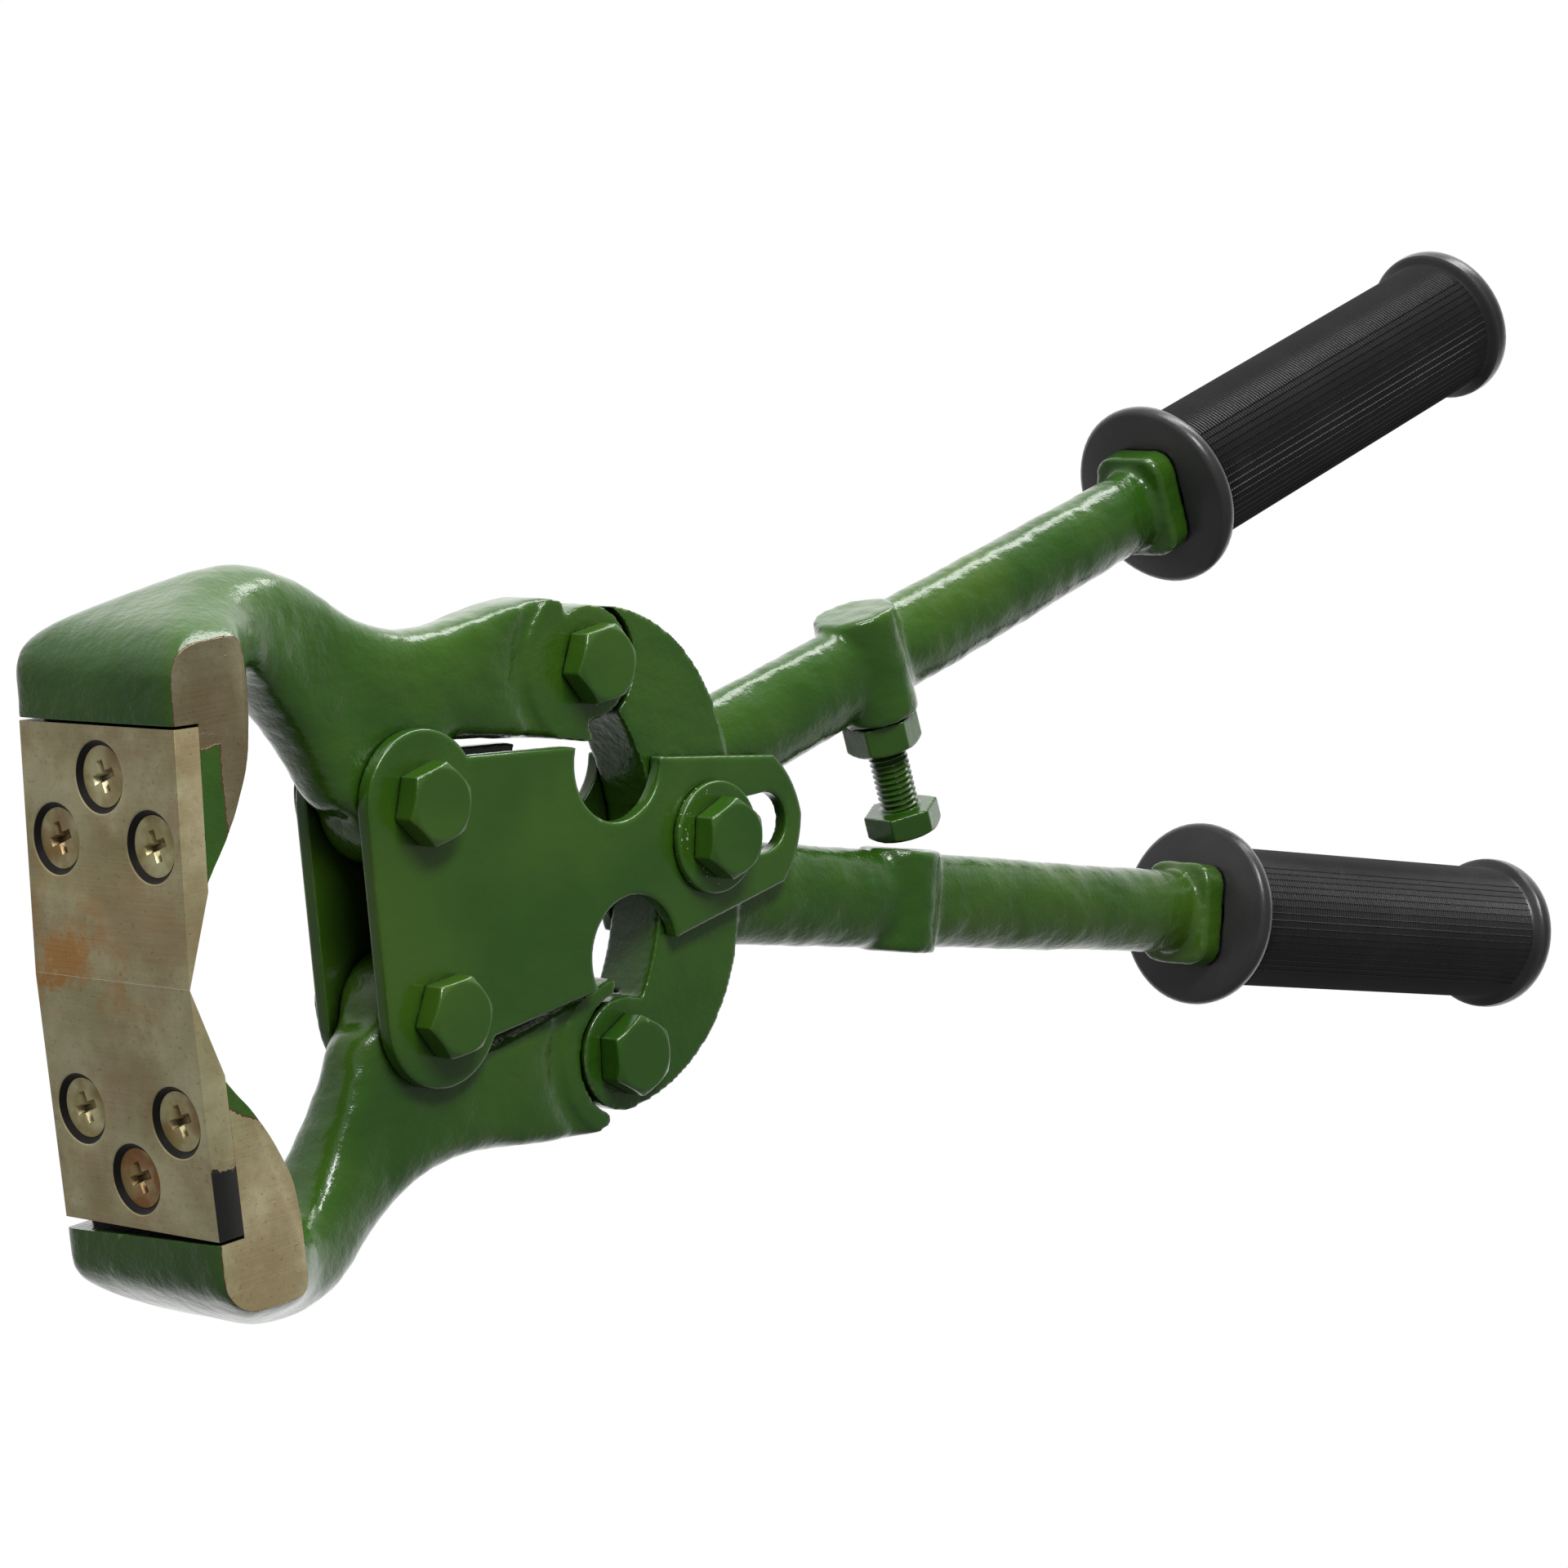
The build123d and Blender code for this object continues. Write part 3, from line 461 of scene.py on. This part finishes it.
for half in ("upper", "lower"):
    blade = copy_node(f"blade_{half}", f"ground_blade_{half}")
    break_edges(blade, 0.00012)
    for vertex in blade.data.vertices:
        # The two edges all but meet.
        if abs(vertex.co.y) < 0.0006:
            vertex.co.y *= 0.05
    bpy.ops.object.shade_smooth_by_angle(angle=radians(30))
    blade.data.materials.append(blade_steel(half))
    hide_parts(f"blade_{half}")
    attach(blade, f"jaw_{half}")

# ---------------------------------------------------------------- blade screws
# Countersunk cross-recessed screws, yellow-zinc plated, sunk a little below the blade.
plating, tree, shader, place = new_material("yellow_zinc")
cloud = between(tree, mottle(tree, place, 140, 4, 0.6), 0.35, 0.65)
brass = blend(tree, cloud, (0.33, 0.27, 0.105, 1), (0.50, 0.46, 0.26, 1))
brown = between(tree, mottle(tree, place, 60, 2, 0.5), 0.5, 0.66)
brass = blend(tree, sums(tree, "MULTIPLY", brown, 0.7), brass, (0.20, 0.095, 0.022, 1))
# The lower blade's outer screw has rusted most.
rusted_screw = (blade_low.x, -0.0441, mid_z)
away = node(tree, "VectorMath", {0: place, 1: rusted_screw}, operation="DISTANCE").outputs["Value"]
rusted = sums(tree, "MULTIPLY", between(tree, away, 0.0135, 0.0125), between(tree, cloud, -0.4, 1.0))
brass = blend(tree, rusted, brass, (0.24, 0.105, 0.022, 1))
# Painted shade: the cross recesses and the screws' sunk rims are darkened to brown-black by ambient
# occlusion.
inside = node(tree, "AmbientOcclusion", {"Distance": 0.0016}, samples=4).outputs["AO"]
brass = blend(tree, between(tree, inside, 0.72, 0.42), brass, (0.045, 0.022, 0.008, 1))
tree.links.new(brass, shader.inputs["Base Color"])
scratched = mottle(tree, place, 700, 4, 0.7)
tree.links.new(sums(tree, "MULTIPLY_ADD", scratched, 0.25, 0.22), shader.inputs["Roughness"])
shader.inputs["Metallic"].default_value = 0.45
add_bump(tree, shader, scratched, 0.00005)
for half in ("upper", "lower"):
    screws = copy_node(f"blade_screws_{half}", f"plated_screws_{half}")
    break_edges(screws, 0.0002)
    bpy.ops.object.shade_smooth_by_angle(angle=radians(30))
    screws.data.materials.append(plating)
    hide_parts(f"blade_screws_{half}")
    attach(screws, f"jaw_{half}")

# ---------------------------------------------------------------- bolts, nuts, washers and bush
# M10 hex bolts and nuts hold the linkage. They were painted with the tool, so their edges are softened.
hardware_paint = green_paint("hardware_enamel", peel=0.35)
bolt_grain = 0.00034
riders = {"jaw_pivot_bolt_upper": "frame", "jaw_pivot_bolt_lower": "frame",
          "jaw_pivot_nut_upper": "frame", "jaw_pivot_nut_lower": "frame",
          "link_bolt_upper": "handle_upper", "link_nut_upper": "handle_upper",
          "link_bolt_lower": "handle_lower", "link_nut_lower": "handle_lower",
          "centre_bolt": "centre_pin", "centre_nut": "centre_pin",
          "centre_washer_front": "centre_pin", "centre_washer_back": "centre_pin",
          "stop_lock_nut": "stop_nut"}
chipped_paint = green_paint("chipped_enamel", peel=0.35)
tree = chipped_paint.node_tree
coat = next(made for made in tree.nodes if made.type == "GROUP")
place = coat.inputs["Place"].links[0].from_socket
chips = between(tree, mottle(tree, place, 900, 2), 0.66, 0.68)
chips = sums(tree, "MULTIPLY", chips, between(tree, mottle(tree, place, 130, 1), 0.5, 0.6))
colour = blend(tree, chips, coat.outputs["Color"], (0.42, 0.42, 0.38, 1))
tree.links.new(colour, tree.nodes["Principled BSDF"].inputs["Base Color"])
for name, body in riders.items():
    fastener = copy_node(name, f"painted_{name}")
    cast(fastener, bolt_grain)
    finish_with(fastener, "SMOOTH", factor=0.5, iterations=4)
    fastener.data.materials.append(chipped_paint if "washer" in name else hardware_paint)
    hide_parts(name)
    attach(fastener, body)

turned_steel, tree, shader, place = new_material("bush_steel")
bare = node(tree, "Group", {"Place": place, "Tan": 0.3, "Rust": 0.0}, node_tree=steel)
tree.links.new(bare.outputs["Color"], shader.inputs["Base Color"])
tree.links.new(bare.outputs["Roughness"], shader.inputs["Roughness"])
shader.inputs["Metallic"].default_value = 0.8
bpy.data.objects["centre_bush"].material_slots[0].material = turned_steel

# ---------------------------------------------------------------- handles
# Each handle is one forging too: a crescent with an ear for the link and a hub for the centre bolt, an
# oval arm with a barrel for the stop screw, and a collar and round tang that carry the grip.
handle_grain = 0.0008
handle_paint = green_paint("handle_enamel")


def roundness_of_handle(point):
    """Most rounded along the arm, least on the flat faces of the crescent."""
    return 0.06 + 0.94 * climb(point.x, -0.068, -0.050)


# The stop screw's own frame: at the middle of the boss's face, with Z out of the boss.
pin = middle_of("centre_bush")
arm_slope = radians(12.4035)
boss_along, boss_aside = 0.075073, 0.015764
boss_face = pin + Vector((boss_along, boss_aside, 0))
out_of_boss = Vector((sin(arm_slope), -cos(arm_slope), 0))
screw_turn = Matrix.Rotation(arm_slope, 4, "Z") @ Matrix.Rotation(pi / 2, 4, "X")
screw_frame = Matrix.Translation(boss_face) @ screw_turn
bore_radius, bore_depth, drill_clear = 0.0053, 0.0265, 0.004

for half in ("upper", "lower"):
    handle = copy_node(f"handle_{half}", f"forged_handle_{half}")
    cast(handle, handle_grain)
    rounded = weigh(handle, "rounded", roundness_of_handle)
    finish_with(handle, "SMOOTH", factor=0.5, iterations=16, vertex_group=rounded)
    hammer(handle, 0.014, 0.0009, rounded)
    hammer(handle, 0.0045, 0.0003, rounded)
    finish_with(handle, "SMOOTH", factor=0.5, iterations=2)
    if half == "upper":
        # The bore for the stop screw is drilled after the rest is shaped.
        bpy.ops.mesh.primitive_cylinder_add(vertices=48, radius=bore_radius, depth=bore_depth + drill_clear)
        drill = bpy.context.object
        drill.data.transform(screw_frame @ Matrix.Translation((0, 0, (drill_clear - bore_depth) / 2)))
        finish_with(handle, "BOOLEAN", object=drill, operation="DIFFERENCE", solver="EXACT")
        bpy.data.objects.remove(drill)
        bpy.ops.object.shade_smooth_by_angle(angle=radians(50))
    handle.data.materials.clear()
    handle.data.materials.append(handle_paint)
    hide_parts(f"handle_{half}")
    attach(handle, f"handle_{half}")

# ---------------------------------------------------------------- stop screw
# An M10 hex-head screw in the upper handle's barrel sets how far the handles close. Painted in place.
screw_reach, screw_engaged = 0.0246, 0.0120     # from the boss's face to the head, and into the boss
pitch, thread_outer, thread_root = 0.0015, 0.00495, 0.0042
turns_below, turns = 9, 27
thread_past, head_cut = 0.0002, 0.0005          # the thread's end in the head, the head's cut below it


def draw_profile(name, points):
    """A chain of edges in the XZ plane, drawn point by point from one vertex."""
    bpy.ops.object.select_all(action="DESELECT")
    bpy.ops.mesh.primitive_plane_add(size=0.001, location=(0, 0, 0))
    piece = bpy.context.object
    piece.name = name
    bpy.ops.object.mode_set(mode="EDIT")
    bpy.ops.mesh.merge(type="CENTER")
    x, z = points[0]
    bpy.ops.transform.translate(value=(x, 0, z))
    for next_x, next_z in points[1:]:
        step = {"value": (next_x - x, 0, next_z - z)}
        bpy.ops.mesh.extrude_vertices_move(TRANSFORM_OT_translate=step)
        x, z = next_x, next_z
    bpy.ops.object.mode_set(mode="OBJECT")
    return piece


start = -turns_below * pitch
thread = draw_profile("stop_thread", [(thread_root, start), (thread_outer, start + 0.4 * pitch),
                                      (thread_outer, start + 0.55 * pitch),
                                      (thread_root, start + 0.95 * pitch), (thread_root, start + pitch)])
finish_with(thread, "SCREW", angle=2 * pi, screw_offset=pitch, iterations=turns, steps=40, render_steps=40,
            use_merge_vertices=True, merge_threshold=0.00001)
trim_ends(-screw_engaged, screw_reach + thread_past)
bpy.ops.object.mode_set(mode="EDIT")
bpy.ops.mesh.select_all(action="SELECT")
bpy.ops.mesh.normals_make_consistent(inside=False)
bpy.ops.object.mode_set(mode="OBJECT")
thread.data.transform(screw_frame)
bpy.ops.object.shade_smooth_by_angle(angle=radians(30))
head = copy_node("stop_screw", "stop_screw_head")
bpy.ops.object.mode_set(mode="EDIT")
bpy.ops.mesh.select_all(action="SELECT")
bpy.ops.mesh.bisect(plane_co=boss_face + out_of_boss * (screw_reach - head_cut), plane_no=-out_of_boss,
                    use_fill=True, clear_outer=True)
bpy.ops.object.mode_set(mode="OBJECT")
cast(head, bolt_grain)
finish_with(head, "SMOOTH", factor=0.5, iterations=4)
for piece in (thread, head):
    piece.data.materials.append(hardware_paint)
    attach(piece, "stop_screw")
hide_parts("stop_screw")
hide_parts("stop_screw")

# ---------------------------------------------------------------- grips
# Moulded black rubber sleeves pushed over the tangs, with a flange at each end. The body is a fine grid of
# pits, and only rings run across the two bands where the mould parted.
grip_length, grip_radius, mouth_radius = 0.140, 0.0187, 0.0102
body_start, body_end, columns, rows = 0.0075, 0.1335, 60, 118
pit_wall, pit_depth, band_start, least_face = 0.00026, 0.00040, 0.74 * grip_radius, 1.0e-6
collar_length = 0.008
grips = {"upper": (0.1805, 0.0539, 13.2), "lower": (0.1850, 0.0560, 13.6)}

rubber, tree, shader, place = new_material("black_rubber")
dust = between(tree, mottle(tree, place, 60, 4, 0.6), 0.4, 0.75)
black = blend(tree, dust, (0.009, 0.009, 0.010, 1), (0.018, 0.017, 0.017, 1))
# Painted highlight: the sharp ridges between the pits are coloured light grey.
painted_ridge_highlight = node(tree, "NewGeometry", {}).outputs["Pointiness"]
black = blend(tree, between(tree, painted_ridge_highlight, 0.52, 0.62), black, (0.085, 0.082, 0.082, 1))
# Painted shade: the bottoms of the pits are coloured near black, found by ambient occlusion.
deep = node(tree, "AmbientOcclusion", {"Distance": 0.0012}, samples=4).outputs["AO"]
black = blend(tree, between(tree, deep, 0.8, 0.4), black, (0.002, 0.002, 0.002, 1))
tree.links.new(black, shader.inputs["Base Color"])
skin = mottle(tree, place, 900, 2)
tree.links.new(sums(tree, "MULTIPLY_ADD", skin, 0.12, 0.24), shader.inputs["Roughness"])
add_bump(tree, shader, skin, 0.00003)

# The outline as radius and place along the grip: the mouth and near flange, the body, the far flange.
mouth = [(mouth_radius, 0.0012), (mouth_radius + 0.0006, 0.0), (0.0228, 0.0), (0.0238, 0.0004),
         (0.0244, 0.0013), (0.0245, 0.0024), (0.0243, 0.0036), (0.0234, 0.0046), (0.0224, 0.0050),
         (0.0222, 0.0058), (0.0214, 0.0066), (0.0198, 0.0070), (grip_radius, body_start)]
body = [(grip_radius, body_start + (body_end - body_start) * row / rows) for row in range(1, rows)]
tail = [(grip_radius, body_end), (0.0192, 0.1340), (0.0206, 0.1343), (0.0213, 0.1350), (0.0215, 0.1362),
        (0.0215, 0.1375), (0.0212, 0.1388), (0.0204, 0.1397), (0.0188, grip_length), (0.0060, grip_length),
        (0.0, grip_length)]
sleeve = draw_profile("sleeve", mouth + body + tail)
finish_with(sleeve, "SCREW", angle=2 * pi, screw_offset=0, steps=columns, render_steps=columns,
            use_merge_vertices=True, merge_threshold=0.00001)
bpy.ops.object.mode_set(mode="EDIT")
bpy.ops.mesh.select_all(action="SELECT")
bpy.ops.mesh.remove_doubles(threshold=0.00001)
bpy.ops.mesh.normals_make_consistent(inside=False)
# Pits over the body first, then the even and the odd rings of the bands, so that rings stay apart.
for parity in ("pits", 0, 1):
    bpy.ops.mesh.select_all(action="DESELECT")
    bpy.ops.object.mode_set(mode="OBJECT")
    for face in sleeve.data.polygons:
        row = (face.center.z - body_start) / (body_end - body_start) * rows
        in_body = 0 < row < rows and abs(face.normal.z) < 0.05 and face.area > least_face
        band = abs(face.center.y) > band_start
        face.select = in_body and (not band if parity == "pits" else band and int(row) % 2 == parity)
    bpy.ops.object.mode_set(mode="EDIT")
    bpy.ops.mesh.select_mode(type="FACE")
    bpy.ops.mesh.inset(thickness=pit_wall, depth=-pit_depth, use_individual=parity == "pits")
bpy.ops.object.mode_set(mode="OBJECT")
bpy.ops.object.shade_smooth_by_angle(angle=radians(35))
for half, (along, aside, angle) in grips.items():
    grip = bpy.data.objects.new(f"rubber_grip_{half}", sleeve.data.copy())
    bpy.context.collection.objects.link(grip)
    turn = radians(angle)
    start = pin + Vector((along + collar_length * cos(turn), aside + collar_length * sin(turn), 0))
    along_grip = Matrix.Rotation(turn, 4, "Z") @ Matrix.Rotation(pi / 2, 4, "Y")
    flip = turned_over() if half == "lower" else Matrix.Identity(4)
    grip.data.transform(flip @ Matrix.Translation(start) @ along_grip)
    grip.data.materials.append(rubber)
    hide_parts(f"grip_{half}")
    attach(grip, f"handle_{half}")
bpy.data.objects.remove(sleeve)

# ---------------------------------------------------------------- floor and light
# A glowing white table that takes no shadow, in a white room: bright beyond the upper handle, dim on the
# camera's side. A key softbox stands high beyond the tool, and a long low one grazes its back edges.
bpy.ops.object.select_all(action="DESELECT")
bpy.ops.mesh.primitive_plane_add(size=12, location=(0, 0, -0.0010))
floor = bpy.context.object
floor.name = "floor"
glow = bpy.data.materials.new("white_floor")
glow.use_nodes = True
for socket, value in (("Base Color", (0, 0, 0, 1)), ("Specular IOR Level", 0),
                      ("Emission Color", (1, 1, 1, 1)), ("Emission Strength", 1.0)):
    glow.node_tree.nodes["Principled BSDF"].inputs[socket].default_value = value
floor.data.materials.append(glow)
floor.visible_diffuse = floor.visible_glossy = False


def softbox(name, place, aim, size, watts):
    """A rectangular studio light turned to a point."""
    lamp = bpy.data.lights.new(name, "AREA")
    lamp.shape, lamp.size, lamp.size_y, lamp.energy = "RECTANGLE", size[0], size[1], watts
    box = bpy.data.objects.new(name, lamp)
    bpy.context.collection.objects.link(box)
    box.location = place
    box.rotation_euler = (Vector(aim) - Vector(place)).to_track_quat("-Z", "Y").to_euler()


softbox("key", (-0.35, 0.95, 0.85), (-0.08, 0, 0), (0.7, 0.25), 14)
softbox("rim", (0.30, 1.10, 0.10), (-0.05, 0, 0), (1.6, 0.35), 16)
sky = bpy.data.worlds.new("studio")
sky.use_nodes = True
tree = sky.node_tree
ray = node(tree, "TexCoord", {}).outputs["Generated"]
way = node(tree, "SeparateXYZ", {0: ray}).outputs
above = sums(tree, "MULTIPLY", between(tree, way[1], -0.1, 0.9), between(tree, way[2], 0.85, 0.35))
ahead = node(tree, "VectorMath", {0: ray, 1: looking}, operation="DOT_PRODUCT").outputs["Value"]
strength = sums(tree, "MULTIPLY_ADD", above, 0.62, 0.28)
strength = sums(tree, "MULTIPLY_ADD", between(tree, ahead, 0.1, 0.9), 1.1, strength)
tree.links.new(strength, tree.nodes["Background"].inputs["Strength"])
tree.nodes["Background"].inputs["Color"].default_value = (1, 1, 1, 1)
bpy.context.scene.world = sky
bpy.context.scene.view_settings.view_transform = "Standard"
